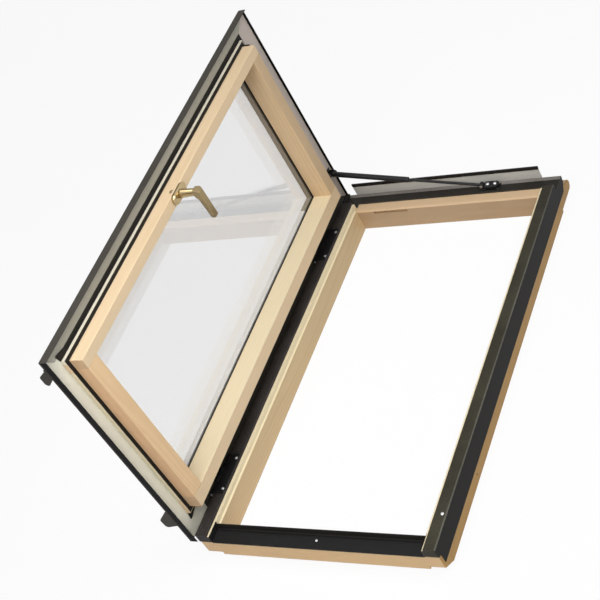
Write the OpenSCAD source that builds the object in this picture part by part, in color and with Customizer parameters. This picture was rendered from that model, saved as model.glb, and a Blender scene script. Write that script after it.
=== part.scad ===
// Side-hung roof exit window: pine frame and sash, dark cladding, double glazing, stay arm.
// X runs across the roof, Y up the slope, Z out of the roof. The sash is drawn standing open.
// Sections are given in frame coordinates: x from the hinge side, y from the sill's outer face,
// z from the top of the sill cover.

/* [Frame] */
// Outer width of the frame
frame_w = 660; // [550:10:780]
// Outer length of the frame
frame_l = 1208; // [980:2:1400]
// Thickness of the jambs at the reveal
jamb_t = 42.5; // [38:0.5:48]
// Thickness of the sill
sill_t = 44; // [40:1:60]
// Thickness of the head
head_t = 72; // [60:1:90]
// Depth of the frame below the sill cover
frame_d = 68; // [60:1:90]
// Depth of the rebate for the lining
rebate = 20; // [12:1:24]
// Lower edge of the sill's outer lip
sill_lip = -54; // [-58:1:-46]
// Length of the bevel under the jambs' lower end
toe_l = 35; // [20:1:50]
// Height of the bevel under the jambs' lower end
toe_h = 24; // [12:1:30]
// Reach of the jamb horns past the head
horn_l = 32; // [20:1:40]
// Height of the jamb horns
horn_h = 32; // [24:1:36]
// Place of the lower fixing holes from the sill
fix_low = 260; // [150:5:300]
// Place of the upper fixing holes from the head
fix_high = 308; // [150:4:320]
// Height of the fixing holes below the sill cover
fix_z = -50; // [-56:1:-44]
// Radius of the fixing holes
fix_r = 2.5; // [2:0.25:3.5]
// Depth of the fixing holes
fix_depth = 30; // [20:1:34]

/* [Frame cladding] */
// Height of the jamb covers above the sill cover
cover_h = 27; // [24:0.5:30]
// Width of the jamb covers' top
cover_w = 31; // [26:0.5:31]
// Thickness of the frame covers
frame_sheet = 1.5; // [1:0.1:2]
// Height of the wooden lip beside a jamb cover
lip_z = 21; // [19:0.5:21]
// Height of the shelf inside the lip
shelf_z = 8; // [4:0.5:12]
// Height of the head's shelf
head_z = 4; // [0:0.5:6]
// Width of the head cover
head_cover_w = 43; // [36:1:46]
// Distance from the jamb covers' upper end to the frame's end
head_end = 57; // [54:1:62]
// Lower edge of the jamb covers' side wall
wall_z = -34; // [-40:1:-28]
// Edge rib on the lock jamb's cover
rib_h = 0.8; // [0.4:0.1:1.2]
// Inset of the head plate on the hinge side
plate_hinge = 14; // [8:1:40]
// Inset of the head plate on the opening side
plate_lock = 57; // [45:1:80]
// Stand-off of the head plate behind the head
plate_off = 8; // [6:0.5:12]
// Top of the head plate
plate_h = 34; // [28:1:40]
// Depth of the head plate's foot on the head
plate_foot = 40; // [30:1:50]
// Place of the lock jamb cover's screw up the slope
cover_screw_y = 96; // [60:1:140]
// Start of the vent slot in the head
slot_x = 98; // [80:1:120]
// Length of the vent slot in the head
slot_l = 108; // [80:1:140]

/* [Sash] */
// Hinge axis across the roof
axis_x = -9.5; // [-12:0.5:-8]
// Hinge axis above the sill cover
axis_z = 21.5; // [20:0.5:23]
// Gap between sash and reveal on the jambs
plug_gap = 5; // [4:0.5:7]
// Gap between sash and reveal on the sill and head
plug_gap_y = 6; // [4:0.5:8]
// Interior face of the sash
sash_in = -16; // [-22:1:-10]
// Step that carries the sash seal
step_z = 22.3; // [22:0.1:24]
// Width of the sash step
step_w = 12.7; // [12:0.1:14]
// Width of the hinge stile's interior face
stile_hinge_w = 40; // [30:1:50]
// Width of the opening stile's interior face
stile_lock_w = 30; // [30:1:45]
// Width of the bottom rail's interior face
rail_bottom_w = 43; // [30:1:55]
// Width of the head rail's interior face
rail_head_w = 37.5; // [30:0.5:50]
// Top of the sash timber
sash_top = 69; // [66:1:72]

/* [Glazing] */
// Floor of the glazing rebate
glass_floor = 43; // [40:0.5:46]
// Thickness of each pane
pane_t = 4; // [3:1:6]
// Space between the panes
pane_gap = 16; // [12:1:16]
// Cover of the glass edge by the timber
glass_hold = 14; // [10:1:16]

/* [Sash cladding] */
// Underside of the flange sheet
flange_z = 32.8; // [32.5:0.1:34]
// Thickness of the sash sheets
sash_sheet = 1.2; // [1:0.1:1.6]
// Overhang past the frame on the opening side
over_lock = 11.5; // [10:0.5:16]
// Overhang past the frame on the hinge side
over_hinge = 27.5; // [18:0.5:30]
// Overhang past the sill
over_sill = 5; // [4.5:0.5:8]
// Overhang past the head
over_head = 5.5; // [4:0.5:6]
// Lower edge of the skirts
skirt_z = 17; // [12:0.5:22]
// Lower edge of the head skirt
head_skirt_z = 24; // [20:0.5:28]
// Height of the light corner behind the hinge side's lower end
corner_y = 96; // [70:1:110]
// Height of the hem on the opening and lower covers
hem_h = 5; // [3:0.5:7]

/* [Fittings] */
// Place of the lower hinge up the slope
hinge_low_y = 185; // [120:5:300]
// Place of the upper hinge below the frame's upper end
hinge_high = 223; // [180:1:300]
// Length of a hinge
hinge_len = 124; // [90:2:150]
// Place of the handle below the frame's middle
handle_drop = 18; // [-60:2:60]
// Reach of the handle lever
lever_len = 84; // [80:1:110]
// Stand-off of the lever from the stile
lever_off = 64; // [50:1:70]
// Place of the stay below the frame's upper end
stay_in = 20; // [18:1:22]
// Stay pivot on the frame, from the hinge side
stay_fx = 436; // [400:2:480]
// Stay pivot on the sash, from the hinge side
stay_sx = 82.5; // [76:0.5:92]
// Height of the stay bracket's housing
housing_h = 13.5; // [11:0.5:15]

/* [Quality] */
// Facets of round things
facets = 36; // [24:4:60]

/* [Hidden] */
$fn = facets;

wood_col = [0.87, 0.72, 0.52];
clad_col = [0.2, 0.19, 0.18];
grey_col = [0.62, 0.62, 0.58];
black_col = [0.07, 0.07, 0.07];
brass_col = [0.72, 0.6, 0.36];
steel_col = [0.75, 0.75, 0.76];
glass_col = [0.85, 0.9, 0.9, 0.4];

// Origin on the lining face of the sill
org_y = (sill_t + rebate) / 2;
// Sash timber: inner part that enters the reveal
px0 = jamb_t + plug_gap;
px1 = frame_w - jamb_t - plug_gap + 0.5;
py0 = sill_t + plug_gap_y;
py1 = frame_l - head_t - plug_gap_y;
// Sash timber: wider part above the seal
qx0 = px0 - step_w - 0.5;
qx1 = px1 + step_w;
qy0 = py0 - step_w;
qy1 = py1 + step_w;
// Clear glass seen from inside
gx0 = px0 + stile_hinge_w;
gx1 = px1 - stile_lock_w;
gy0 = py0 + rail_bottom_w;
gy1 = py1 - rail_head_w;
// Edge of the panes and side of the glazing rebate
ex0 = gx0 - glass_hold;
ex1 = gx1 + glass_hold;
ey0 = gy0 - glass_hold;
ey1 = gy1 + glass_hold;
side = glass_hold + 2;
// Height of the panes
z_in = glass_floor + 2.7;
z_sp = z_in + pane_t;
z_out = z_sp + pane_gap;
z_top = z_out + pane_t;
// Sash cladding: outer edge, standing wall and inner edge over the glass
ox0 = -over_hinge;
ox1 = frame_w + over_lock;
oy0 = -over_sill;
oy1 = frame_l + over_head;
wx0 = qx0 - 1.7;
wx1 = qx1 + 1.7;
wy0 = qy0 - 1.7;
wy1 = qy1 + 1.7;
cz = z_top + 1.9;
lap = 11.5;
// Jamb covers end where the head cover begins
cover_end = frame_l - head_end;
// Places along the slope that follow the frame's length
hinge_high_y = frame_l - hinge_high;
handle_y = frame_l / 2 - handle_drop;
stay_y = frame_l - stay_in;
// Lock
crank = 7;
lock_x = (gx1 + px1) / 2;
// Stay
stay_z = 17.5;
stay_sz = 15;
open_x = axis_x - (stay_sz - axis_z);
open_z = axis_z + (stay_sx - axis_x);
stay_len = sqrt(pow(stay_fx - open_x, 2) + pow(open_z - stay_z, 2));
stay_ang = atan2(open_z - stay_z, open_x - stay_fx);
tube_len = 232;
tube_r = 8;
rod_len = 252;

module fixed() {
  translate([-frame_w / 2, -org_y, frame_d]) children();
}
module sash() {
  fixed() translate([axis_x, 0, axis_z]) rotate([0, -90, 0]) translate([-axis_x, 0, -axis_z]) children();
}
module along_y(y0, y1) {
  translate([0, y1, 0]) rotate([90, 0, 0]) linear_extrude(y1 - y0) children();
}
module along_x(x0, x1) {
  translate([x0, 0, 0]) rotate([90, 0, 90]) linear_extrude(x1 - x0) children();
}
module block(x0, x1, y0, y1, z0, z1) {
  translate([x0, y0, z0]) cube([x1 - x0, y1 - y0, z1 - z0]);
}
module rod_y(x, z, y0, y1, r) {
  translate([x, y1, z]) rotate([90, 0, 0]) cylinder(h = y1 - y0, r = r);
}
module ring(x0, x1, y0, y1, a0, a1, b0, b1, z0, z1) {
  translate([0, 0, z0]) linear_extrude(z1 - z0) difference() {
    translate([x0, y0]) square([x1 - x0, y1 - y0]);
    translate([a0, b0]) square([a1 - a0, b1 - b0]);
  }
}
module screw_head(r, h) {
  difference() {
    union() {
      cylinder(h = h * 0.5, r = r);
      translate([0, 0, h * 0.5]) cylinder(h = h * 0.5, r1 = r, r2 = r * 0.72);
    }
    translate([-r * 0.6, -0.4, h * 0.5]) cube([r * 1.2, 0.8, h]);
    translate([-0.4, -r * 0.6, h * 0.5]) cube([0.8, r * 1.2, h]);
  }
}

// Frame timber
horn_z = 6 - frame_d;
horn_y = frame_l + horn_l - horn_h / 2;
module jamb_section() {
  top = cover_h - frame_sheet - 0.3;
  in = cover_w - frame_sheet - 0.2;
  polygon([[0, -frame_d], [0, top], [in, top], [in, lip_z], [jamb_t - 5, lip_z], [jamb_t - 4.5, lip_z - 0.5],
    [jamb_t - 4.5, shelf_z], [jamb_t - 3, shelf_z - 0.4], [jamb_t - 1.4, shelf_z - 1.5],
    [jamb_t - 0.4, shelf_z - 3], [jamb_t, shelf_z - 4.8],
    [jamb_t, -frame_d + 2], [jamb_t - 2, -frame_d]]);
}
module jamb_wood() {
  difference() {
    union() {
      along_y(0, frame_l) jamb_section();
      block(0, jamb_t, frame_l - 1, horn_y, horn_z, horn_z + horn_h);
      translate([0, horn_y, horn_z + horn_h / 2]) rotate([0, 90, 0]) cylinder(h = jamb_t, r = horn_h / 2);
    }
    along_x(-1, jamb_t + 1)
      polygon([[-1, -frame_d - 1], [toe_l, -frame_d - 1], [toe_l, -frame_d], [0, toe_h - frame_d],
        [-1, toe_h - frame_d]]);
    block(-1, jamb_t + 1, cover_end - 5, frame_l + 1, -frame_d - 1, horn_z);
    block(-1, jamb_t + 1, cover_end, frame_l + 1, head_z, cover_h);
    block(jamb_t - 6.5, jamb_t + 1, -1, sill_t + 1.4, -frame_sheet, lip_z + 1);
    block(jamb_t - 4.5, jamb_t + 1, frame_l - head_t, frame_l + 1, head_z, lip_z + 1);
    for (y = [fix_low, frame_l - fix_high])
      translate([-1, y, fix_z]) rotate([0, 90, 0]) cylinder(h = fix_depth + 1, r = fix_r);
  }
}
module jamb_hinge() {
  color(wood_col) fixed() jamb_wood();
}
module jamb_lock() {
  color(wood_col) fixed() difference() {
    translate([frame_w, 0, 0]) mirror([1, 0, 0]) jamb_wood();
    block(frame_w - jamb_t - 1, frame_w - jamb_t + 2, handle_y - 27, handle_y + 15, -15, 3);
    block(frame_w - jamb_t + 1, frame_w - jamb_t + 10, handle_y - 14.5, handle_y + 2.5, -11, -1);
  }
}
module frame_sill() {
  color(wood_col) fixed() along_x(jamb_t, frame_w - jamb_t)
    polygon([[0, sill_lip], [0, -frame_sheet], [sill_t, -frame_sheet], [sill_t, -frame_d + 2],
      [sill_t - 2, -frame_d], [rebate, -frame_d], [rebate, sill_lip]]);
}
module frame_head() {
  color(wood_col) fixed() difference() {
    along_x(jamb_t, frame_w - jamb_t)
      polygon([[frame_l, sill_lip], [frame_l, head_z], [frame_l - head_t + 5, head_z],
        [frame_l - head_t + 3, head_z - 0.5], [frame_l - head_t + 1.2, head_z - 1.7],
        [frame_l - head_t + 0.3, head_z - 3.2], [frame_l - head_t, head_z - 5],
        [frame_l - head_t, -frame_d + 2], [frame_l - head_t + 2, -frame_d],
        [frame_l - rebate, -frame_d], [frame_l - rebate, sill_lip]]);
    block(slot_x, slot_x + slot_l, frame_l - head_t - 1, frame_l - head_t + 5, -11, -1.5);
  }
}

// Frame cladding
module jamb_cover() {
  top = cover_h - frame_sheet;
  end = cover_end + 1.3;
  along_y(-1.7, end)
    polygon([[-frame_sheet, top], [-frame_sheet, cover_h], [cover_w - 1, cover_h], [cover_w, cover_h - 1],
      [cover_w, lip_z + 0.6], [cover_w - frame_sheet, lip_z + 0.6], [cover_w - frame_sheet, top]]);
  along_x(-frame_sheet, 0)
    polygon([[-1.7, top + 0.5], [-1.7, 0], [9, -3], [9, wall_z], [frame_l - 20, wall_z],
      [frame_l - 0.3, wall_z + 20], [frame_l - 0.3, head_z - 0.1], [end, head_z - 0.1], [end, top + 0.5]]);
  block(-frame_sheet, cover_w, -1.7, -0.4, 0, top + 0.5);
  block(0, jamb_t - 6.5, -1.7, -0.4, 0, lip_z);
  block(-frame_sheet, cover_w, cover_end, end, head_z + 0.1, top + 0.5);
}
module jamb_cover_hinge() {
  color(clad_col) fixed() jamb_cover();
}
module jamb_cover_lock() {
  color(clad_col) fixed() translate([frame_w, 0, 0]) mirror([1, 0, 0]) {
    jamb_cover();
    block(-frame_sheet, -0.3, -1.7, cover_end + 1.3, cover_h - 0.5, cover_h + rib_h);
  }
}
module sill_cover() {
  x0 = jamb_t - 6.4;
  x1 = frame_w - jamb_t + 6.4;
  y = sill_t + 1.2;
  color(black_col) fixed() {
    along_x(x0, x1)
      polygon([[-1.5, -3], [-1.5, 0], [y, 0], [y, -frame_sheet], [-0.2, -frame_sheet], [-0.2, -3]]);
    block(jamb_t + 0.3, frame_w - jamb_t - 0.3, sill_t + 0.1, y, -8, -frame_sheet + 0.5);
    for (x = [x0, x1 - 1])
      block(x, x + 1, -1.5, y, -0.5, lip_z - 0.3);
  }
}
module head_cover() {
  y1 = frame_l + 1.5;
  y0 = y1 - head_cover_w;
  color(clad_col) fixed() {
    along_x(jamb_t - 4, frame_w - jamb_t + 4)
      polygon([[y0, head_z], [y0, head_z + 3.5], [y0 + 1.2, head_z + 3.5], [y0 + 1.2, head_z + 1.2],
        [y1, head_z + 1.2], [y1, -4], [y1 - 1.2, -4], [y1 - 1.2, head_z]]);
    for (x = [-frame_sheet, frame_w - jamb_t + 2])
      along_x(x, x + jamb_t - 2 + frame_sheet)
        polygon([[cover_end + 1.5, head_z], [cover_end + 1.5, head_z + 1.2], [y1, head_z + 1.2], [y1, -4],
          [y1 - 1.2, -4], [y1 - 1.2, head_z]]);
  }
}
module head_plate() {
  y = frame_l + plate_off;
  color(grey_col) fixed() {
    along_x(plate_hinge, frame_w - plate_lock)
      polygon([[frame_l, -8], [frame_l, -6.5], [y, -6.5], [y, plate_h], [y + 1.5, plate_h], [y + 1.5, -8]]);
    block(jamb_t + 1, frame_w - plate_lock, frame_l, frame_l + 1.5, -plate_foot, -7);
  }
}
module head_trim() {
  y = frame_l + plate_off;
  color(black_col) fixed() along_x(plate_hinge, frame_w - plate_lock)
    polygon([[y - 1.2, plate_h - 3], [y - 1.2, plate_h + 7], [y + 2.7, plate_h + 7], [y + 2.7, plate_h - 3],
      [y + 1.5, plate_h - 3], [y + 1.5, plate_h], [y, plate_h], [y, plate_h - 3]]);
}
module sill_gasket() {
  color(black_col) fixed() along_x(jamb_t - 5, frame_w - jamb_t + 5)
    polygon([[sill_t - 9, 0], [sill_t - 9, 3], [sill_t - 6, 4], [sill_t - 5.5, lip_z - 2],
      [sill_t - 4, lip_z - 0.2], [sill_t - 2.5, lip_z - 2], [sill_t - 2.5, 3], [sill_t - 0.5, 3],
      [sill_t - 0.5, 0]]);
}
module hinge_gasket() {
  color(black_col) fixed() along_y(corner_y + 22, frame_l - 0.5)
    polygon([[-frame_sheet - 0.1, 2], [-frame_sheet - 0.1, 13], [-13, 13], [-16, 11.8], [-17.2, 9.5],
      [-16, 7.2], [-9, 5], [-6, 2]]);
}
module cover_screws() {
  color(steel_col) fixed() {
    translate([frame_w / 2, sill_t / 2, 0]) screw_head(3.2, 1.4);
    translate([frame_w - cover_w / 3, cover_screw_y, cover_h]) screw_head(4, 1.8);
  }
}

// Hinges
module hinge_frame(y) {
  h = hinge_len / 2;
  color(black_col) fixed() difference() {
    union() {
      block(axis_x + 7, cover_w - 2, y - h, y + h, cover_h, cover_h + 2.2);
      for (s = [y - h, y + 22]) {
        block(axis_x, axis_x + 7.2, s, s + h - 22, axis_z, cover_h + 2.2);
        rod_y(axis_x, axis_z, s, s + h - 22, 5);
      }
    }
    rod_y(axis_x, axis_z, y - h - 1, y + h + 1, 3.05);
  }
}
module hinge_frame_low() {
  hinge_frame(hinge_low_y);
}
module hinge_frame_high() {
  hinge_frame(hinge_high_y);
}
module hinge_pin(y) {
  h = hinge_len / 2;
  color(steel_col) fixed() {
    rod_y(axis_x, axis_z, y - h - 0.3, y + h + 0.3, 3);
    rod_y(axis_x, axis_z, y - h - 2.3, y - h - 0.3, 4.2);
    rod_y(axis_x, axis_z, y + h + 0.3, y + h + 2.3, 4.2);
  }
}
module hinge_pin_low() {
  hinge_pin(hinge_low_y);
}
module hinge_pin_high() {
  hinge_pin(hinge_high_y);
}
module hinge_screws(y) {
  color(steel_col) fixed() for (s = [-47, 47])
    translate([cover_w - 9, y + s, cover_h + 2.2]) screw_head(4.2, 1);
}
module hinge_screws_low() {
  hinge_screws(hinge_low_y);
}
module hinge_screws_high() {
  hinge_screws(hinge_high_y);
}
module hinge_sash(y) {
  top = flange_z - sash_sheet;
  color(black_col) sash() difference() {
    union() {
      block(axis_x - 5, hx0 - 0.2, y - 21.6, y + 21.6, top - 2.1, top);
      block(axis_x - 5, axis_x - 1.5, y - 21.6, y + 21.6, axis_z, top);
      rod_y(axis_x, axis_z, y - 21.6, y + 21.6, 5);
    }
    rod_y(axis_x, axis_z, y - 23, y + 23, 3.05);
  }
}
module hinge_sash_low() {
  hinge_sash(hinge_low_y);
}
module hinge_sash_high() {
  hinge_sash(hinge_high_y);
}

// Sash timber
module stile_hinge_solid() {
  along_y(qy0, qy1)
    polygon([[px0 + 1.2, sash_in], [gx0 - 1.2, sash_in], [gx0, sash_in + 1.2], [gx0, glass_floor],
      [gx0 - side, glass_floor], [gx0 - side, sash_top], [qx0, sash_top], [qx0, step_z], [px0, step_z],
      [px0, sash_in + 1.2]]);
}
module stile_lock_solid() {
  along_y(qy0, qy1)
    polygon([[px1 - 1.2, sash_in], [gx1 + 1.2, sash_in], [gx1, sash_in + 1.2], [gx1, glass_floor],
      [gx1 + side, glass_floor], [gx1 + side, sash_top], [qx1, sash_top], [qx1, step_z], [px1, step_z],
      [px1, sash_in + 1.2]]);
}
module stile_ends() {
  for (y = [qy0 - 1, py1])
    block(qx0 - 1, qx1 + 1, y, y + step_w + 1, sash_in - 1, step_z);
}
module stile_hinge() {
  color(wood_col) sash() difference() {
    stile_hinge_solid();
    stile_ends();
  }
}
module stile_lock() {
  color(wood_col) sash() difference() {
    stile_lock_solid();
    stile_ends();
    block(lock_x - 11.5, lock_x + 11.5, handle_y - 32, handle_y + 32, sash_in - 1, 5);
    block(lock_x + 10, px1 + 1, handle_y - 12.6, handle_y + 0.6, -9.6, -1.4);
  }
}
module rail_bottom() {
  color(wood_col) sash() difference() {
    along_x(gx0 - side, gx1 + side)
      polygon([[py0 + 1.2, sash_in], [gy0 - 1.2, sash_in], [gy0, sash_in + 1.2], [gy0, glass_floor],
        [gy0 - side, glass_floor], [gy0 - side, sash_top], [qy0, sash_top], [qy0, step_z], [py0, step_z],
        [py0, sash_in + 1.2]]);
    block(gx0 - side - 1, gx0, qy0 - 1, gy0 + 1, sash_in - 1, glass_floor);
    block(gx1, gx1 + side + 1, qy0 - 1, gy0 + 1, sash_in - 1, glass_floor);
  }
}
module rail_head() {
  color(wood_col) sash() difference() {
    along_x(gx0 - side, gx1 + side)
      polygon([[py1 - 1.2, sash_in], [gy1 + 1.2, sash_in], [gy1, sash_in + 1.2], [gy1, glass_floor],
        [gy1 + side, glass_floor], [gy1 + side, sash_top], [qy1, sash_top], [qy1, step_z], [py1, step_z],
        [py1, sash_in + 1.2]]);
    block(gx0 - side - 1, gx0, gy1 - 1, qy1 + 1, sash_in - 1, glass_floor);
    block(gx1, gx1 + side + 1, gy1 - 1, qy1 + 1, sash_in - 1, glass_floor);
  }
}

// Sash cladding, each side cut to its mitres
module plan(p) {
  translate([0, 0, skirt_z - 1]) linear_extrude(cz + sash_sheet + 2 - skirt_z) polygon(p);
}
kx0 = ex0 + lap;
kx1 = ex1 - lap;
ky0 = ey0 + lap;
ky1 = ey1 - lap;
fz = flange_z + sash_sheet;
module cover_hinge() {
  color(clad_col) sash() intersection() {
    along_y(oy0, oy1) polygon([[kx0, cz], [kx0, cz + sash_sheet], [wx0, cz + sash_sheet], [wx0, fz],
      [ox0, fz], [ox0, flange_z], [wx0 + sash_sheet, flange_z], [wx0 + sash_sheet, cz]]);
    plan([[ox0, oy0], [wx0, wy0], [kx0, ky0], [kx0, ky1], [wx0, wy1], [ox0, oy1]]);
  }
}
module cover_lock() {
  color(clad_col) sash() intersection() {
    along_y(oy0, oy1) polygon([[kx1, cz], [kx1, cz + sash_sheet], [wx1, cz + sash_sheet], [wx1, fz],
      [ox1 - sash_sheet, fz], [ox1 - sash_sheet, fz + hem_h], [ox1, fz + hem_h],
      [ox1, skirt_z], [ox1 - sash_sheet, skirt_z], [ox1 - sash_sheet, flange_z],
      [wx1 - sash_sheet, flange_z], [wx1 - sash_sheet, cz]]);
    plan([[ox1, oy0], [wx1, wy0], [kx1, ky0], [kx1, ky1], [wx1, wy1], [ox1, oy1]]);
  }
}
module cover_bottom() {
  color(clad_col) sash() intersection() {
    along_x(ox0, ox1) polygon([[ky0, cz], [ky0, cz + sash_sheet], [wy0, cz + sash_sheet], [wy0, fz],
      [oy0 + sash_sheet, fz], [oy0 + sash_sheet, fz + hem_h], [oy0, fz + hem_h],
      [oy0, skirt_z], [oy0 + sash_sheet, skirt_z], [oy0 + sash_sheet, flange_z],
      [wy0 + sash_sheet, flange_z], [wy0 + sash_sheet, cz]]);
    plan([[ox0, oy0], [ox1, oy0], [wx1, wy0], [kx1, ky0], [kx0, ky0], [wx0, wy0]]);
  }
}
module cover_head() {
  color(clad_col) sash() intersection() {
    along_x(ox0, ox1) polygon([[ky1, cz], [ky1, cz + sash_sheet], [wy1, cz + sash_sheet], [wy1, fz],
      [oy1, fz], [oy1, head_skirt_z], [oy1 - sash_sheet, head_skirt_z], [oy1 - sash_sheet, flange_z],
      [wy1 - sash_sheet, flange_z], [wy1 - sash_sheet, cz]]);
    plan([[ox0, oy1], [ox1, oy1], [wx1, wy1], [kx1, ky1], [kx0, ky1], [wx0, wy1]]);
  }
}
// Grey backing strips behind the flanges
bz = flange_z - sash_sheet;
gw = 12.3;
bx0 = ox0 + 1;
bx1 = ox1 - sash_sheet - 0.3;
by0 = oy0 + sash_sheet + 0.3;
by1 = oy1 - sash_sheet - 0.3;
hx0 = qx0 - gw;
hx1 = qx1 + gw;
hy0 = qy0 - gw;
hy1 = qy1 + gw;
module strip(p) {
  translate([0, 0, bz]) linear_extrude(sash_sheet) polygon(p);
}
module backing_hinge() {
  color(grey_col) sash() strip([[bx0, corner_y], [hx0, corner_y], [hx0, hy1], [bx0, by1]]);
}
module backing_lock() {
  color(grey_col) sash() strip([[bx1, by0], [hx1, hy0], [hx1, hy1], [bx1, by1]]);
}
module backing_bottom() {
  color(grey_col) sash()
    strip([[bx0, by0], [bx1, by0], [hx1, hy0], [hx1, qy0 - 0.2], [hx0, qy0 - 0.2], [hx0, corner_y - 0.2],
      [bx0, corner_y - 0.2]]);
}
module backing_head() {
  color(grey_col) sash() strip([[bx0, by1], [bx1, by1], [hx1, hy1], [hx0, hy1]]);
}
// Gasket on three sides, with a bead against the timber and flared ends at the sill
module gasket_outline(w) {
  polygon([[qx0 - w, qy0], [qx0 - w, qy1 + w], [qx1 + w, qy1 + w], [qx1 + w, qy0], [qx1, qy0], [qx1, qy1],
    [qx0, qy1], [qx0, qy0]]);
}
module gasket_end() {
  polygon([[0, 0], [-gw - 7, -4], [-gw - 7, 4], [-gw + 2, 38], [0, 38]]);
}
module sash_gasket() {
  color(black_col) sash() {
    translate([0, 0, bz - 1]) linear_extrude(flange_z - bz + 1) gasket_outline(gw);
    translate([0, 0, bz - 3]) linear_extrude(2.5) gasket_outline(2.5);
    translate([qx0, qy0, bz - 2.5]) linear_extrude(2.5) gasket_end();
    translate([qx1, qy0, bz - 2.5]) linear_extrude(2.5) mirror([1, 0, 0]) gasket_end();
  }
}
module sash_seal() {
  color(black_col) sash()
    ring(qx0 + 2.5, qx1 - 2.5, qy0 + 2.5, qy1 - 2.5, px0, px1, py0, py1, lip_z + 0.3, step_z);
}
module head_fin() {
  color(black_col) sash() block(px0 + 2, px1 - 2, py1 + 6.5, py1 + 9.5, head_z + 0.3, lip_z + 0.3);
}

// Glazing
module pane_inner() {
  color(glass_col) sash() block(ex0, ex1, ey0, ey1, z_in, z_sp);
}
module pane_outer() {
  color(glass_col) sash() block(ex0, ex1, ey0, ey1, z_out, z_top);
}
module spacer() {
  color(grey_col) sash()
    ring(ex0 + 3, ex1 - 3, ey0 + 3, ey1 - 3, gx0 + 4.5, gx1 - 4.5, gy0 + 6, gy1 - 6, z_sp, z_out);
}
module glass_seal_inner() {
  color(black_col) sash() ring(gx0 - side + 0.5, gx1 + side - 0.5, gy0 - side + 0.5, gy1 + side - 0.5,
    gx0 + 1.5, gx1 - 1.5, gy0 + 2, gy1 - 2, glass_floor, z_in);
}
module glass_seal_outer() {
  color(black_col) sash() ring(ex0 + 1, ex1 - 1, ey0 + 1, ey1 - 1, ex0 + lap - 0.5, ex1 - lap + 0.5,
    ey0 + lap - 0.5, ey1 - lap + 0.5, z_top, cz);
}
module setting_block(x) {
  color(black_col) sash() block(x, x + 80, gy0 - side, ey0, z_in, sash_top);
}
module setting_block_a() {
  setting_block(gx0 + 30);
}
module setting_block_b() {
  setting_block(gx1 - 110);
}

// Clips on the lower cover
module clip(p, x0, x1) {
  color(clad_col) sash() {
    translate([0, oy0 + 3.4, 0]) rotate([90, 0, 0]) linear_extrude(2) {
      offset(r = 8) offset(delta = -8) polygon(p);
      translate([x0, fz]) square([x1 - x0, 12]);
    }
    block(x0, x1, oy0 + 3, oy0 + 22, fz, fz + 2);
  }
}
module clip_lock() {
  x = frame_w - 14;
  clip([[x - 29, fz], [x, fz], [x - 2, fz + 6], [x - 25, fz + 38], [x - 30, fz + 40], [x - 57, fz + 40],
    [x - 61, fz + 36]], x - 27, x - 2);
}
module clip_hinge() {
  clip([[40, fz], [104, fz], [102, fz + 6], [62, fz + 46], [56, fz + 49], [33, fz + 47],
    [29, fz + 42]], 44, 96);
}

// Stay arm
module stay_bracket() {
  z0 = head_z + 1.2;
  color(black_col) fixed() difference() {
    union() {
      block(stay_fx - 8, stay_fx + 52, stay_y - 11, stay_y + 12, z0, z0 + 2.5);
      block(stay_fx + 9, stay_fx + 40, stay_y - 11, stay_y + 12, z0, z0 + housing_h);
      translate([stay_fx + 40, stay_y + 0.5, z0]) cylinder(h = housing_h, r = 11.5);
      for (y = [stay_y - 7, stay_y + 4.5]) {
        block(stay_fx - 7, stay_fx + 7, y, y + 2.5, z0 + 2, stay_z);
        rod_y(stay_fx, stay_z, y, y + 2.5, 7);
      }
    }
    rod_y(stay_fx, stay_z, stay_y - 9, stay_y + 9, 3.05);
  }
}
module stay_pin() {
  color(steel_col) fixed() {
    rod_y(stay_fx, stay_z, stay_y - 7.3, stay_y + 7.3, 3);
    rod_y(stay_fx, stay_z, stay_y - 9, stay_y - 7.3, 4.5);
    rod_y(stay_fx, stay_z, stay_y + 7.3, stay_y + 9, 4.5);
  }
}
module stay_bracket_screws() {
  color(steel_col) fixed() for (x = [18, 40])
    translate([stay_fx + x, stay_y + 0.5, head_z + 1.2 + housing_h]) screw_head(5, 2.6);
}
module stay_line() {
  fixed() translate([stay_fx, stay_y, stay_z]) rotate([0, -stay_ang, 0]) children();
}
module stay_rod() {
  color(black_col) stay_line() difference() {
    union() {
      translate([0, 4, 0]) rotate([90, 0, 0]) cylinder(h = 8, r = 6.5);
      rotate([0, 90, 0]) cylinder(h = rod_len, r = 4);
    }
    translate([0, 6, 0]) rotate([90, 0, 0]) cylinder(h = 12, r = 3.05);
  }
}
module stay_tube() {
  color(black_col) stay_line() {
    difference() {
      translate([stay_len - tube_len, 0, 0]) rotate([0, 90, 0]) cylinder(h = tube_len - 5, r = tube_r);
      translate([stay_len - tube_len - 1, 0, 0]) rotate([0, 90, 0]) cylinder(h = 11, r = tube_r - 1.5);
      translate([stay_len - tube_len, 0, 0]) rotate([0, 90, 0]) cylinder(h = tube_len - 17, r = 5.5);
    }
    translate([stay_len, 4.5, 0]) rotate([90, 0, 0]) cylinder(h = 9, r = tube_r - 1);
    translate([stay_len, 8.4, 0]) rotate([90, 0, 0]) cylinder(h = 4, r = 3);
  }
}
module stay_bush() {
  color(steel_col) stay_line() difference() {
    translate([stay_len - tube_len - 1.5, 0, 0]) rotate([0, 90, 0]) cylinder(h = 11.5, r = tube_r - 1.5);
    translate([stay_len - tube_len - 2, 0, 0]) rotate([0, 90, 0]) cylinder(h = 13, r = 4.06);
  }
}
module stay_sash_bracket() {
  color(black_col) sash() {
    block(stay_sx - 15, stay_sx + 15, stay_y - 11, stay_y + 15, bz - 2, bz);
    block(stay_sx - 8, stay_sx + 8, stay_y + 8.8, stay_y + 11.3, stay_sz, bz - 1);
    rod_y(stay_sx, stay_sz, stay_y + 8.8, stay_y + 11.3, 8);
  }
}

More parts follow.
